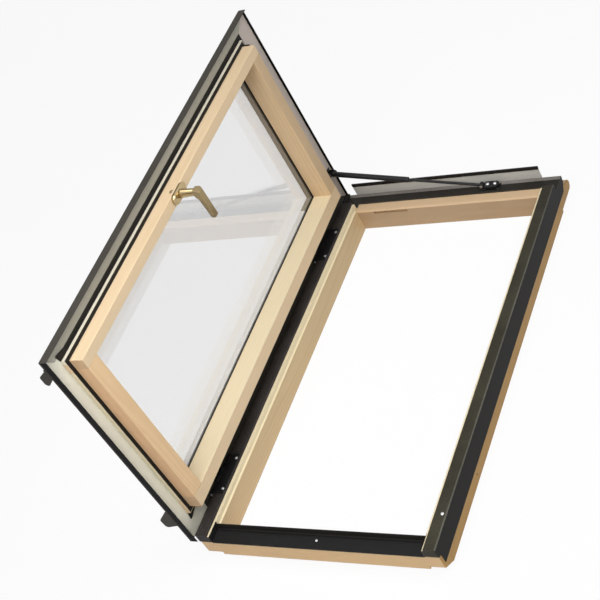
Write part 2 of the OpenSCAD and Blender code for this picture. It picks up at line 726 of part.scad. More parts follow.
// Handle and latch
module rosette() {
  color(brass_col) sash() difference() {
    translate([lock_x, handle_y, sash_in]) mirror([0, 0, 1]) {
      hull() for (s = [-18.8, 18.8]) translate([0, s, 0]) cylinder(h = 5, r = 15);
      hull() for (s = [-18.8, 18.8]) translate([0, s, 5]) cylinder(h = 3.5, r1 = 15, r2 = 11.5);
    }
    translate([lock_x, handle_y, sash_in - 10]) cylinder(h = 14, r = 8.1);
  }
}
module handle() {
  h = lever_off;
  e = lever_len;
  color(brass_col) sash() translate([lock_x, handle_y, sash_in]) mirror([0, 0, 1]) {
    rotate_extrude()
      polygon([[0, 0], [8.04, 0], [8.04, 9], [11.6, 9], [12, 13], [11.4, 18], [10.4, 28], [9.8, 42],
        [9.8, h - 4], [0, h - 4]]);
    intersection() {
      translate([0, 10, 0]) rotate([90, 0, 0]) linear_extrude(20)
        polygon([[9.9, h - 13], [9.9, h], [4, h + 7.2], [2 - e, h + 5.8], [-e, h + 4], [-e, h - 4.5],
          [2 - e, h - 6], [-19, h - 7.2], [-13.5, h - 9.5], [-9.9, h - 13]]);
      along_x(-e - 1, 11)
        polygon([[-9.9, h - 14], [9.9, h - 14], [9.9, h + 3], [6, h + 8], [-6, h + 8], [-9.9, h + 3]]);
      translate([0, 0, h - 15]) linear_extrude(30)
        polygon([[11, -9.9], [11, 9.9], [-14, 9.9], [3 - e, 7.4], [-e, 5.4], [-e, -5.4], [3 - e, -7.4],
          [-14, -9.9]]);
    }
  }
}
module spindle() {
  color(steel_col) sash() block(lock_x - 3.5, lock_x + 3.5, handle_y - 3.5, handle_y + 3.5, sash_in, -8.2);
}
module lock_hub() {
  color(steel_col) sash() translate([lock_x, handle_y, 0]) {
    difference() {
      translate([0, 0, -12.2]) cylinder(h = 4, r = 9.6);
      translate([-3.55, -3.55, -13]) cube([7.1, 7.1, 6]);
    }
    rotate([0, 0, 225]) translate([crank, 0, -8.2]) cylinder(h = 4.6, r = 1.8);
  }
}
module lock_case() {
  color(steel_col) sash() difference() {
    block(lock_x - 11.3, lock_x + 11.3, handle_y - 31.5, handle_y + 31.5, sash_in + 0.3, 4);
    block(lock_x - 10.1, lock_x + 10.1, handle_y - 30, handle_y + 30, -13.5, 2.8);
    translate([lock_x, handle_y, sash_in - 1]) cylinder(h = 4, r = 8.4);
    block(lock_x + 9, lock_x + 12, handle_y - 12.6, handle_y + 0.6, -9.6, -1.4);
  }
}
module latch_bolt() {
  p = crank * sin(45);
  color(steel_col) sash() translate([lock_x - p, handle_y, 0]) difference() {
    union() {
      block(-4.8, px1 - lock_x + p - 0.4, -12, 0, -7.6, -4);
      block(p + 5, px1 - lock_x + p - 0.4, -12, 0, -7.8, -2);
    }
    block(-2.2, 2.2, -10.2, -2, -10, 0);
  }
}
module striker() {
  x = frame_w - jamb_t;
  color(steel_col) fixed() difference() {
    block(x + 0.2, x + 2, handle_y - 26.5, handle_y + 14.5, -14.5, 2.5);
    block(x - 1, x + 3, handle_y - 14, handle_y + 2, -10.6, -1.2);
  }
}

frame_sill();
frame_head();
jamb_hinge();
jamb_lock();
sill_cover();
jamb_cover_hinge();
jamb_cover_lock();
head_cover();
head_plate();
head_trim();
sill_gasket();
hinge_gasket();
hinge_frame_low();
hinge_frame_high();
hinge_pin_low();
hinge_pin_high();
hinge_screws_low();
hinge_screws_high();
cover_screws();
striker();
stay_bracket();
stay_bracket_screws();
stay_pin();
stile_hinge();
stile_lock();
rail_bottom();
rail_head();
cover_hinge();
cover_lock();
cover_bottom();
cover_head();
backing_hinge();
backing_lock();
backing_bottom();
backing_head();
sash_gasket();
sash_seal();
head_fin();
pane_inner();
pane_outer();
spacer();
glass_seal_inner();
glass_seal_outer();
setting_block_a();
setting_block_b();
clip_lock();
clip_hinge();
hinge_sash_low();
hinge_sash_high();
stay_sash_bracket();
lock_case();
rosette();
handle();
spindle();
lock_hub();
latch_bolt();
stay_rod();
stay_tube();
stay_bush();
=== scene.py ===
"""Looks of a side-hung roof skylight: pine, dark cladding, seals, fittings, glazing and the stage."""

import bpy
from bpy.props import FloatProperty, FloatVectorProperty, PointerProperty
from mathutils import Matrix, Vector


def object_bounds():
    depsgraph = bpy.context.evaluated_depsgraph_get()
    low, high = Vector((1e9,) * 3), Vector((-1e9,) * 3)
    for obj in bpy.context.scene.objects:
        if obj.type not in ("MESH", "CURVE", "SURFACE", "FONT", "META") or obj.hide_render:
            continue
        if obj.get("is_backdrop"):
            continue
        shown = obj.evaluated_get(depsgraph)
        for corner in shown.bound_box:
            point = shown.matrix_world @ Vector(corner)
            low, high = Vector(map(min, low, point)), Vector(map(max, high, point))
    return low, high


bl_info = {
    "name": "Roof Skylight Finishes",
    "version": (1, 0, 0),
    "blender": (4, 5, 0),
    "location": "View3D > Sidebar > Skylight",
    "description": "Dresses the roof skylight in pine, cladding, rubber, metal and glass",
    "category": "Object",
}

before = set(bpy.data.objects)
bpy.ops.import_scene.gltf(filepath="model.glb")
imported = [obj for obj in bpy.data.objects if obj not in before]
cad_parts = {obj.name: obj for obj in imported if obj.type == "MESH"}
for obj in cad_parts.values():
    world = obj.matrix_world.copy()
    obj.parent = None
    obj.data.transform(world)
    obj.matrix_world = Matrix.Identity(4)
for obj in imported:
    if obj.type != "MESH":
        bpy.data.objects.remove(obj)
CAD_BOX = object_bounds()

# Zones of the part that take a tone of their own, or a painted light or shade, as limits on its
# coordinates at rest, in metres.
# OUTER_SIDE takes painted shade on the lock jamb's outer side and on the outer side of its cover.
OUTER_SIDE = (("X", "GREATER_THAN", CAD_BOX[1].x - 0.003),)
# OUTER_RIDGE takes a painted highlight along the ridge of the lock jamb's cover.
OUTER_RIDGE = (("X", "GREATER_THAN", CAD_BOX[1].x - 0.0042), ("Z", "GREATER_THAN", 0.0947))
LOW_END = (("Y", "LESS_THAN", 0.0185), ("X", "GREATER_THAN", -0.3390))
RAIL_STEP = (("Y", "LESS_THAN", 0.0175),)
# JAMB_TOP takes painted light on the jambs' lips, which face the light.
JAMB_TOP = (("Z", "GREATER_THAN", 0.0730),)
JAMB_END = (("Y", "LESS_THAN", -0.0300),)
# LOCK_STEP takes painted light on the lock stile's step.
LOCK_STEP = (("Z", "GREATER_THAN", 0.7125),)
# HINGE_REVEAL takes painted shade on the hinge stile beside the glass.
HINGE_REVEAL = (("Z", "GREATER_THAN", 0.1855),)
# UNDER_SHELF takes painted shade on the head's reveal under the cover.
UNDER_SHELF = (("Z", "LESS_THAN", 0.0675),)
REAR_STRIP = (("Y", "GREATER_THAN", 1.1645),)
# HEAD_LEG takes painted shade on the spacer's leg at the head.
HEAD_LEG = (("Y", "GREATER_THAN", 1.0),)
# SKIRT takes painted shade on the skirts of the sash's lower and head covers.
SKIRT = (("X", "GREATER_THAN", -0.3512),)
# NECK_HIGHLIGHT takes a painted highlight on the lever's rosette and neck.
NECK_HIGHLIGHT = (("X", "LESS_THAN", -0.2520),)

SASH_COVERS = ("cover_hinge", "cover_lock", "clip_lock", "clip_hinge")
LOWER_COVERS = ("cover_bottom", "cover_head")
SEALS = (
    "sill_gasket",
    "hinge_gasket",
    "head_trim",
    "sash_gasket",
    "sash_seal",
    "head_fin",
    "glass_seal_inner",
    "glass_seal_outer",
)
BLACK_FITTINGS = (
    "hinge_frame_low",
    "hinge_frame_high",
    "hinge_sash_low",
    "hinge_sash_high",
    "stay_bracket",
    "stay_sash_bracket",
    "stay_rod",
    "stay_tube",
    "stay_bush",
)
SCREWS = ("hinge_screws_low", "hinge_screws_high", "cover_screws", "stay_bracket_screws")
STEEL_PIECES = (
    "hinge_pin_low",
    "hinge_pin_high",
    "striker",
    "stay_pin",
    "lock_case",
    "spindle",
    "lock_hub",
)
HANDLE_PIECES = ("rosette", "handle")
PANES = ("pane_inner", "pane_outer")
SETTING_BLOCKS = ("setting_block_a", "setting_block_b")

FULL_TURN = 6.28318
PINE_SHINE = 0.35
PINE_COAT = 0.06
PINE_COAT_ROUGHNESS = 0.3
GLASS_IOR = 1.6
FLOOR_ROUGHNESS = 0.9

LAMPS = {"front": "lamp_side", "top": "lamp_side", "side": "lamp_side", "rim": "rim_side"}
SWIZZLE = {"X": ("X", "Y", "Z"), "Y": ("Y", "X", "Z"), "Z": ("Z", "X", "Y")}


def colour_prop(name, description, default):
    """A colour that a user can change, in linear values."""
    return FloatVectorProperty(
        name=name, description=description, default=default, subtype="COLOR", size=3, min=0.0, max=1.0
    )


def length_prop(name, description, default):
    """A length in metres that a user can change."""
    return FloatProperty(name=name, description=description, default=default, unit="LENGTH", precision=4)


def place_prop(name, description, default):
    """A place in the part's frame that a user can change."""
    return FloatVectorProperty(
        name=name, description=description, default=default, subtype="TRANSLATION", unit="LENGTH"
    )


def power_prop(name, description, default):
    """A lamp's power in watts that a user can change."""
    return FloatProperty(name=name, description=description, default=default, unit="POWER")


def number_prop(name, description, default):
    """A plain number that a user can change."""
    return FloatProperty(name=name, description=description, default=default)


def camera_prop(name, description, default):
    """A length inside the camera, in millimetres, that a user can change."""
    return FloatProperty(name=name, description=description, default=default, subtype="DISTANCE_CAMERA")


class SkylightColours(bpy.types.PropertyGroup):
    """Colours of the skylight's finishes."""

    stile_pine: colour_prop("Stile pine", "Early wood of the sash's stiles", (0.86, 0.665, 0.43))
    # Painted light on the lock stile's step, screened over the pine.
    step_light_tint: colour_prop("Step tint", "Pale sapwood on the lock stile's step", (0.62, 0.66, 0.52))
    # Painted shade on the hinge stile's reveal beside the glass.
    glass_side_shade_tint: colour_prop("Glass side tint", "Hinge stile beside the glass", (0.89, 0.97, 0.99))
    # Painted light on the jambs' lips, screened over the pine.
    lip_light_tint: colour_prop("Lip tint", "Pale sapwood on the jambs' lips", (0.68, 0.55, 0.33))
    foot_tint: colour_prop("Foot tint", "Pale end grain at the jambs' feet", (0.52, 0.14, 0.02))
    low_rail_pine: colour_prop("Bottom rail pine", "Early wood of the bottom rail", (0.90, 0.635, 0.365))
    head_rail_pine: colour_prop("Head rail pine", "Early wood of the head rail", (0.70, 0.51, 0.305))
    jamb_pine: colour_prop("Jamb pine", "Early wood of the frame's jambs", (0.665, 0.50, 0.285))
    sill_pine: colour_prop("Sill pine", "Early wood of the frame's sill", (0.84, 0.57, 0.29))
    head_pine: colour_prop("Head pine", "Early wood of the frame's head", (0.72, 0.52, 0.32))
    # Painted shade on the head's reveal under the cover.
    reveal_shade_tint: colour_prop("Reveal tint", "Tint of the head's reveal", (0.64, 0.61, 0.58))
    # Painted shade on the lock jamb's outer side, darker and more golden than its other faces.
    outer_shade_tint: colour_prop("Outer tint", "Tint of the lock jamb's outer side", (0.74, 0.56, 0.26))
    end_tint: colour_prop("End grain tint", "Tint of the stiles' end grain", (0.88, 0.77, 0.71))
    rail_side_tint: colour_prop("Rail side tint", "Outer side of the bottom rail", (0.99, 0.91, 0.92))
    rail_step_tint: colour_prop("Rail step tint", "Pale step of the bottom rail", (0.05, 0.42, 0.31))
    late_wood: colour_prop("Late wood", "Tint of the darker growth rings", (0.74, 0.60, 0.46))
    lock_cover: colour_prop("Lock cover", "Lacquer of the lock jamb's cover", (0.046, 0.042, 0.030))
    hinge_cover: colour_prop("Hinge cover", "Lacquer of the hinge jamb's cover", (0.043, 0.038, 0.036))
    head_cover: colour_prop("Head cover", "Lacquer of the head's cover", (0.032, 0.029, 0.025))
    # Painted highlight along the ridge of the lock jamb's cover.
    ridge_highlight: colour_prop("Ridge", "Rubbed ridge along the lock jamb's cover", (0.11, 0.105, 0.085))
    # Painted shade on the outer side of the lock jamb's cover.
    cover_side_shade: colour_prop("Cover side", "Outer side of the lock jamb's cover", (0.012, 0.011, 0.010))
    sash_cover: colour_prop("Sash covers", "Lacquer of the sash's side covers", (0.048, 0.042, 0.034))
    # Painted shade: the skirts take a darker copy of the sash covers' lacquer.
    skirt_shade: colour_prop("Skirts", "Skirts of the sash's lower and head covers", (0.009, 0.009, 0.009))
    sill_sheet: colour_prop("Sill cover", "Lacquer of the sill cover", (0.019, 0.019, 0.019))
    # Painted highlight along the folds and edges of the sheets and black fittings.
    fold_highlight: colour_prop("Rubbed edge", "Lacquer worn at the folds", (0.20, 0.19, 0.17))
    head_plate: colour_prop("Head plate", "Grey lacquer of the head plate", (0.70, 0.68, 0.63))
    backing: colour_prop("Backing strips", "Grey lacquer of the backing strips", (0.46, 0.45, 0.385))
    # Painted reflection of the wood, with painted shade, on the head's backing strip.
    head_backing_reflection: colour_prop("Head backing", "Lacquer of the head's backing strip", (0.66, 0.58, 0.52))
    rear_strip: colour_prop("Rear strip", "Grey strip behind the head cover", (0.24, 0.22, 0.20))
    # Painted light: a paler copy of the backing lacquer on the lower strip.
    pale_backing_light: colour_prop("Lower backing", "Pale lacquer of the lower strip", (0.88, 0.86, 0.73))
    rubber: colour_prop("Rubber", "Seals of the sash and glass", (0.014, 0.012, 0.010))
    black_paint: colour_prop("Black paint", "Paint of the hinges and the stay", (0.012, 0.012, 0.013))
    steel: colour_prop("Steel", "Zinc-plated steel", (0.72, 0.72, 0.73))
    brass: colour_prop("Brass", "Satin brass of the handle", (0.36, 0.275, 0.145))
    # Painted highlight on the rosette and the lever's neck.
    brass_highlight: colour_prop("Polished brass", "Rosette and neck of the lever", (0.52, 0.40, 0.22))
    # Painted dark reflection along the handle's edges.
    dark_edge_reflection: colour_prop("Patina", "Tint of the handle's darker edges", (0.35, 0.32, 0.26))
    yellow_zinc: colour_prop("Yellow zinc", "Passivated zinc of the latch bolt", (0.88, 0.74, 0.52))
    glass: colour_prop("Glass", "Body colour of the panes", (0.905, 0.905, 0.905))
    spacer: colour_prop("Spacer", "Pale bar between the panes", (0.52, 0.51, 0.50))
    # Painted shade on the spacer's leg at the head.
    spacer_leg_shade: colour_prop("Spacer leg", "Bronze leg of the spacer at the head", (0.16, 0.14, 0.105))
    block: colour_prop("Setting blocks", "Plastic under the glass", (0.03, 0.03, 0.03))
    floor: colour_prop("Floor", "Pale floor", (0.92, 0.92, 0.92))


class SkylightSizes(bpy.types.PropertyGroup):
    """Sizes of the finishes and of the stage."""

    ring_pitch: length_prop("Ring pitch", "Width of a growth ring", 0.0055)
    timber_edge: length_prop("Timber edge", "Radius of the timber's sanded edges", 0.0016)
    sheet_edge: length_prop("Sheet edge", "Radius of the folds in the sheets", 0.0018)
    metal_edge: length_prop("Metal edge", "Radius of the fittings' edges", 0.0008)
    handle_edge: length_prop("Handle edge", "Radius of the handle's edges", 0.0022)
    speckle: number_prop("Speckle", "Grains of the lacquer in each metre", 420.0)
    brushing: number_prop("Brushing", "Brush lines in each metre", 900.0)
    floor_side: length_prop("Floor side", "Length of the floor's side", 24.0)
    lens: camera_prop("Lens", "Focal length of the camera", 83.32)
    sensor: camera_prop("Sensor", "Width of the sensor", 36.0)
    camera_place: place_prop("Camera place", "Place of the camera", (1.7558, -1.4760, 2.4846))
    camera_turn: FloatVectorProperty(
        name="Camera turn",
        description="Turn of the camera about X, Y and Z",
        default=(0.81954, 0.44016, 0.37582),
        subtype="EULER",
        unit="ROTATION",
    )
    front_place: place_prop("Front light place", "Soft light before the sill", (0.25, -0.9, 2.1))
    top_place: place_prop("Top light place", "Soft light over the opening", (0.1, 0.55, 2.4))
    side_place: place_prop("Side light place", "Soft light on the lock side", (1.6, 0.5, 2.0))
    rim_place: place_prop("Rim light place", "Small light behind the hinges", (-1.5, 0.7, 2.25))
    front_power: power_prop("Front light power", "Power of the light before the sill", 29.0)
    top_power: power_prop("Top light power", "Power of the light over the opening", 13.0)
    side_power: power_prop("Side light power", "Power of the light on the lock side", 20.0)
    rim_power: power_prop("Rim light power", "Power of the light behind the hinges", 6.0)
    lamp_side: length_prop("Lamp side", "Side of each large light", 1.1)
    rim_side: length_prop("Rim light side", "Side of the small light", 0.9)
    ambient: number_prop("Ambient", "Strength of the surrounding light", 0.05)
    background: number_prop("Background share", "Share of plain white in the floor", 0.93)


def colours():
    """The colours as they are set now."""
    return bpy.context.scene.skylight_colours


def sizes():
    """The sizes as they are set now."""
    return bpy.context.scene.skylight_sizes


def rgba(colour):
    """A colour with full alpha."""
    return (colour[0], colour[1], colour[2], 1.0)


class Tree:
    """A small helper that adds and links shader nodes."""

    def __init__(self, tree):
        self.tree = tree

    def add(self, kind, **settings):
        """Adds a node; settings name its own options."""
        node = self.tree.nodes.new(kind)
        for name, value in settings.items():
            setattr(node, name, value)
        return node

    def link(self, source, target):
        """Links a socket or a plain value into an input socket."""
        if isinstance(source, bpy.types.NodeSocket):
            self.tree.links.new(source, target)
        else:
            target.default_value = source

    def math(self, operation, first, second=None):
        """A Math node's result."""
        node = self.add("ShaderNodeMath", operation=operation)
        self.link(first, node.inputs[0])
        if second is not None:
            self.link(second, node.inputs[1])
        return node.outputs[0]

    def vector(self, operation, first, second):
        """A Vector Math node's result."""
        node = self.add("ShaderNodeVectorMath", operation=operation)
        self.link(first, node.inputs[0])
        self.link(second, node.inputs[1])
        single = operation in ("LENGTH", "DOT_PRODUCT")
        return node.outputs["Value" if single else "Vector"]

    def noise(self, vector, scale, detail=3.0, roughness=0.55):
        """A noise value around one half."""
        node = self.add("ShaderNodeTexNoise")
        self.link(vector, node.inputs["Vector"])
        self.link(scale, node.inputs["Scale"])
        node.inputs["Detail"].default_value = detail
        node.inputs["Roughness"].default_value = roughness
        return node.outputs["Fac"]

    def remap(self, value, low, high, to_low, to_high):
        """A value moved from one range to another, and held inside it."""
        node = self.add("ShaderNodeMapRange")
        self.link(value, node.inputs["Value"])
        ends = {"From Min": low, "From Max": high, "To Min": to_low, "To Max": to_high}
        for name, number in ends.items():
            self.link(number, node.inputs[name])
        return node.outputs["Result"]

    def mix(self, blend, factor, first, second):
        """Two colours mixed."""
        node = self.add("ShaderNodeMix", data_type="RGBA", blend_type=blend)
        self.link(factor, node.inputs["Factor"])
        self.link(first, node.inputs[6])
        self.link(second, node.inputs[7])
        return node.outputs[2]

    def grey(self, value):
        """A value as a grey colour."""
        node = self.add("ShaderNodeCombineXYZ")
        for axis in ("X", "Y", "Z"):
            self.link(value, node.inputs[axis])
        return node.outputs[0]


def new_group(name, inputs, outputs):
    """A shader node group with named sockets; returns its helper, inputs and output node."""
    tree = bpy.data.node_groups.new(name, "ShaderNodeTree")
    for label, kind, default in inputs:
        socket = tree.interface.new_socket(name=label, in_out="INPUT", socket_type=kind)
        if default is not None:
            socket.default_value = default
    for label, kind in outputs:
        tree.interface.new_socket(name=label, in_out="OUTPUT", socket_type=kind)
    helper = Tree(tree)
    entry = helper.add("NodeGroupInput").outputs
    leave = helper.add("NodeGroupOutput").inputs
    return helper, entry, leave


def pine_grain_group():
    """Growth rings, fibres and slow colour drift of planed pine, along the vector's X."""
    t, entry, leave = new_group(
        "PineGrain",
        [
            ("Vector", "NodeSocketVector", None),
            ("Ring Pitch", "NodeSocketFloat", 0.0055),
            ("Early Wood", "NodeSocketColor", None),
            ("Late Wood", "NodeSocketColor", None),
        ],
        [("Color", "NodeSocketColor"), ("Roughness", "NodeSocketFloat"), ("Height", "NodeSocketFloat")],
    )
    drawn = t.vector("MULTIPLY", entry["Vector"], (0.10, 1.0, 1.0))
    warp = t.add("ShaderNodeTexNoise")
    t.link(drawn, warp.inputs["Vector"])
    warp.inputs["Scale"].default_value = 9.0
    warp.inputs["Detail"].default_value = 2.0
    wander = t.vector("SUBTRACT", warp.outputs["Color"], (0.5, 0.5, 0.5))
    bend = t.vector("MULTIPLY", wander, (0.0, 0.06, 0.06))
    section = t.vector("MULTIPLY", t.vector("ADD", entry["Vector"], bend), (0.0, 1.0, 1.0))
    radius = t.vector("LENGTH", t.vector("ADD", section, (0.0, 0.05, 0.09)), (0.0, 0.0, 0.0))
    turns = t.math("DIVIDE", radius, entry["Ring Pitch"])
    wave = t.math("SINE", t.math("MULTIPLY", turns, FULL_TURN))
    rings = t.remap(wave, -0.6, 1.0, 0.0, 1.0)
    fibre = t.noise(t.vector("MULTIPLY", entry["Vector"], (0.02, 1.0, 1.0)), 1500.0, 2.0)
    drift = t.noise(drawn, 14.0, 2.0)
    ring_share = t.math("MULTIPLY", rings, t.remap(drift, 0.35, 0.7, 0.05, 0.28))
    late = t.mix("MULTIPLY", 1.0, entry["Early Wood"], entry["Late Wood"])
    ringed = t.mix("MIX", ring_share, entry["Early Wood"], late)
    fibre_shade = t.remap(fibre, 0.25, 0.75, -0.06, 0.06)
    shade = t.math("ADD", fibre_shade, t.remap(drift, 0.25, 0.75, 0.94, 1.04))
    t.link(t.mix("MULTIPLY", 1.0, ringed, t.grey(shade)), leave["Color"])
    t.link(t.remap(fibre, 0.2, 0.8, 0.42, 0.60), leave["Roughness"])
    t.link(t.math("ADD", t.math("MULTIPLY", rings, 0.4), fibre), leave["Height"])
    return t.tree


def soft_edge_group():
    """Rounded edge normals, and a mask of the edges, on which the finishes paint highlights and dark
    reflections.
    """
    t, entry, leave = new_group(
        "SoftEdge",
        [("Radius", "NodeSocketFloat", 0.001)],
        [("Normal", "NodeSocketVector"), ("Mask", "NodeSocketFloat")],
    )
    bevel = t.add("ShaderNodeBevel", samples=6)
    t.link(entry["Radius"], bevel.inputs["Radius"])
    geometry = t.add("ShaderNodeNewGeometry")
    straight = t.vector("DOT_PRODUCT", bevel.outputs["Normal"], geometry.outputs["Normal"])
    t.link(bevel.outputs["Normal"], leave["Normal"])
    t.link(t.remap(straight, 0.98, 0.75, 0.0, 1.0), leave["Mask"])
    return t.tree


def lacquer_group():
    """Fine grain, slow clouding and orange peel of sprayed lacquer or moulded rubber."""
    t, entry, leave = new_group(
        "LacquerGrain",
        [
            ("Vector", "NodeSocketVector", None),
            ("Grains", "NodeSocketFloat", 400.0),
            ("Contrast", "NodeSocketFloat", 0.2),
        ],
        [("Tone", "NodeSocketColor"), ("Roughness", "NodeSocketFloat"), ("Height", "NodeSocketFloat")],
    )
    grain = t.noise(entry["Vector"], entry["Grains"], 2.0, 0.7)
    cloud = t.noise(entry["Vector"], 7.0, 3.0)
    clouding = t.math("MULTIPLY", t.math("SUBTRACT", cloud, 0.5), 0.7)
    both = t.math("ADD", t.math("SUBTRACT", grain, 0.5), clouding)
    shade = t.math("ADD", 1.0, t.math("MULTIPLY", both, t.math("MULTIPLY", entry["Contrast"], 4.0)))
    t.link(t.grey(shade), leave["Tone"])
    t.link(t.math("ADD", 0.5, t.math("MULTIPLY", both, 0.35)), leave["Roughness"])
    t.link(grain, leave["Height"])
    return t.tree


def brushed_group():
    """Fine drawn lines of brushed metal, along the vector's X."""
    t, entry, leave = new_group(
        "BrushedLines",
        [("Vector", "NodeSocketVector", None), ("Lines", "NodeSocketFloat", 900.0)],
        [("Tone", "NodeSocketColor"), ("Roughness", "NodeSocketFloat"), ("Height", "NodeSocketFloat")],
    )
    lines = t.noise(t.vector("MULTIPLY", entry["Vector"], (0.03, 1.0, 1.0)), entry["Lines"], 2.0)
    cloud = t.noise(entry["Vector"], 30.0, 2.0)
    shade = t.math("ADD", t.remap(lines, 0.25, 0.75, 0.90, 1.06), t.remap(cloud, 0.3, 0.7, -0.05, 0.05))
    t.link(t.grey(shade), leave["Tone"])
    t.link(t.remap(lines, 0.25, 0.75, 0.22, 0.40), leave["Roughness"])
    t.link(lines, leave["Height"])
    return t.tree


GROUPS = {
    "PineGrain": pine_grain_group,
    "SoftEdge": soft_edge_group,
    "LacquerGrain": lacquer_group,
    "BrushedLines": brushed_group,
}


def shared_group(name):
    """A node group of this file, built the first time that it is asked for."""
    found = bpy.data.node_groups.get(name)
    return found if found else GROUPS[name]()


class Finish:
    """A new material with one Principled shader, to which groups are wired."""

    def __init__(self, name, roughness=0.5, metallic=0.0):
        self.material = bpy.data.materials.new(name)
        self.material.use_nodes = True
        self.t = Tree(self.material.node_tree)
        self.shader = self.material.node_tree.nodes["Principled BSDF"]
        self.shader.inputs["Roughness"].default_value = roughness
        self.shader.inputs["Metallic"].default_value = metallic

    def group(self, name):
        """Places a shared group in this material."""
        node = self.t.add("ShaderNodeGroup")
        node.node_tree = shared_group(name)
        return node

    def along(self, axis):
        """Object coordinates turned so that the given axis comes first."""
        place = self.t.add("ShaderNodeTexCoord").outputs["Object"]
        split = self.t.add("ShaderNodeSeparateXYZ")
        self.t.link(place, split.inputs[0])
        turned = self.t.add("ShaderNodeCombineXYZ")
        for source, target in zip(SWIZZLE[axis], ("X", "Y", "Z")):
            self.t.link(split.outputs[source], turned.inputs[target])
        return turned.outputs[0]

    def zone(self, limits):
        """One where the part's coordinates pass every limit, nought elsewhere."""
        split = self.t.add("ShaderNodeSeparateXYZ")
        self.t.link(self.t.add("ShaderNodeTexCoord").outputs["Object"], split.inputs[0])
        inside = 1.0
        for axis, test, limit in limits:
            inside = self.t.math("MULTIPLY", inside, self.t.math(test, split.outputs[axis], limit))
        return inside

    def ground(self, colour, zones):
        """A colour, with another one in each of the zones."""
        mixed = rgba(colour)
        for limits, other in zones:
            mixed = self.t.mix("MIX", self.zone(limits), mixed, rgba(other))
        return mixed

    def edges(self, radius):
        """Soft edges of the given radius; returns the group's outputs."""
        node = self.group("SoftEdge")
        node.inputs["Radius"].default_value = radius
        return node.outputs

    def bump(self, height, normal, strength, distance):
        """A bump over the soft edges, wired to the shader's normal."""
        node = self.t.add("ShaderNodeBump")
        node.inputs["Strength"].default_value = strength
        node.inputs["Distance"].default_value = distance
        self.t.link(height, node.inputs["Height"])
        self.t.link(normal, node.inputs["Normal"])
        self.t.link(node.outputs["Normal"], self.shader.inputs["Normal"])

    def set(self, socket, value):
        """Sets a plain value or a link on one of the shader's sockets."""
        self.t.link(value, self.shader.inputs[socket])


def dress(material, nodes):
    """Gives a material to CAD nodes."""
    for name in nodes:
        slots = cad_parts[name].data.materials
        slots.clear()
        slots.append(material)


def pine(name, axis, early, zones=()):
    """Clear-lacquered pine with its grain along one axis of the part, and zones of it toned."""
    finish = Finish(name)
    grain = finish.group("PineGrain")
    finish.t.link(finish.along(axis), grain.inputs["Vector"])
    grain.inputs["Ring Pitch"].default_value = sizes().ring_pitch
    grain.inputs["Early Wood"].default_value = rgba(early)
    grain.inputs["Late Wood"].default_value = rgba(colours().late_wood)
    wood = grain.outputs["Color"]
    for limits, blend, tint in zones:
        wood = finish.t.mix(blend, finish.zone(limits), wood, rgba(tint))
    finish.set("Base Color", wood)
    finish.set("Roughness", grain.outputs["Roughness"])
    finish.set("Specular IOR Level", PINE_SHINE)
    finish.set("Coat Weight", PINE_COAT)
    finish.set("Coat Roughness", PINE_COAT_ROUGHNESS)
    finish.bump(grain.outputs["Height"], finish.edges(sizes().timber_edge)["Normal"], 0.15, 0.0004)
    return finish.material


def lacquered(name, colour, roughness, contrast, edge_share=0.6, grains=None, shine=0.2, zones=()):
    """Sprayed lacquer on sheet, with a painted highlight along its folds, and zones in another colour.
    """
    finish = Finish(name, roughness)
    finish.set("Specular IOR Level", shine)
    grain = finish.group("LacquerGrain")
    place = finish.t.add("ShaderNodeTexCoord").outputs["Object"]
    finish.t.link(place, grain.inputs["Vector"])
    grain.inputs["Grains"].default_value = grains if grains else sizes().speckle
    grain.inputs["Contrast"].default_value = contrast
    edges = finish.edges(sizes().sheet_edge)
    toned = finish.t.mix("MULTIPLY", 1.0, finish.ground(colour, zones), grain.outputs["Tone"])
    # The edge mask paints a highlight along the folds.
    highlit_edges = finish.t.math("MULTIPLY", edges["Mask"], edge_share)
    finish.set("Base Color", finish.t.mix("MIX", highlit_edges, toned, rgba(colours().fold_highlight)))
    spread = finish.t.math("ADD", roughness - 0.5, grain.outputs["Roughness"])
    finish.set("Roughness", spread)
    finish.bump(grain.outputs["Height"], edges["Normal"], 0.12, 0.0003)
    return finish.material


def brushed(name, axis, colour, edge, matt=1.0, dark_edge_reflection=0.0, zones=()):
    """Brushed metal with lines along one axis, a painted dark reflection on its edges, and zones with a
    painted highlight.
    """
    finish = Finish(name, metallic=1.0)
    lines = finish.group("BrushedLines")
    finish.t.link(finish.along(axis), lines.inputs["Vector"])
    lines.inputs["Lines"].default_value = sizes().brushing
    edges = finish.edges(edge)
    bright = finish.t.mix("MULTIPLY", 1.0, finish.ground(colour, zones), lines.outputs["Tone"])
    # The edge mask paints a dark reflection along the edges.
    dark_edge_share = finish.t.math("MULTIPLY", edges["Mask"], dark_edge_reflection)
    finish.set("Base Color", finish.t.mix("MULTIPLY", dark_edge_share, bright, rgba(colours().dark_edge_reflection)))
    finish.set("Roughness", finish.t.math("MULTIPLY", lines.outputs["Roughness"], matt))
    finish.bump(lines.outputs["Height"], edges["Normal"], 0.08, 0.0002)
    return finish.material


def clear_glass(name):
    """Float glass that lets light through to what is behind it."""
    finish = Finish(name, 0.0)
    finish.set("Base Color", rgba(colours().glass))
    finish.set("Transmission Weight", 1.0)
    finish.set("IOR", GLASS_IOR)
    t = finish.t
    rays = t.add("ShaderNodeLightPath")
    through = t.add("ShaderNodeBsdfTransparent")
    through.inputs["Color"].default_value = rgba(colours().glass)
    mixed = t.add("ShaderNodeMixShader")
    t.link(rays.outputs["Is Shadow Ray"], mixed.inputs[0])
    t.link(finish.shader.outputs[0], mixed.inputs[1])
    t.link(through.outputs[0], mixed.inputs[2])
    t.link(mixed.outputs[0], finish.material.node_tree.nodes["Material Output"].inputs["Surface"])
    return finish.material


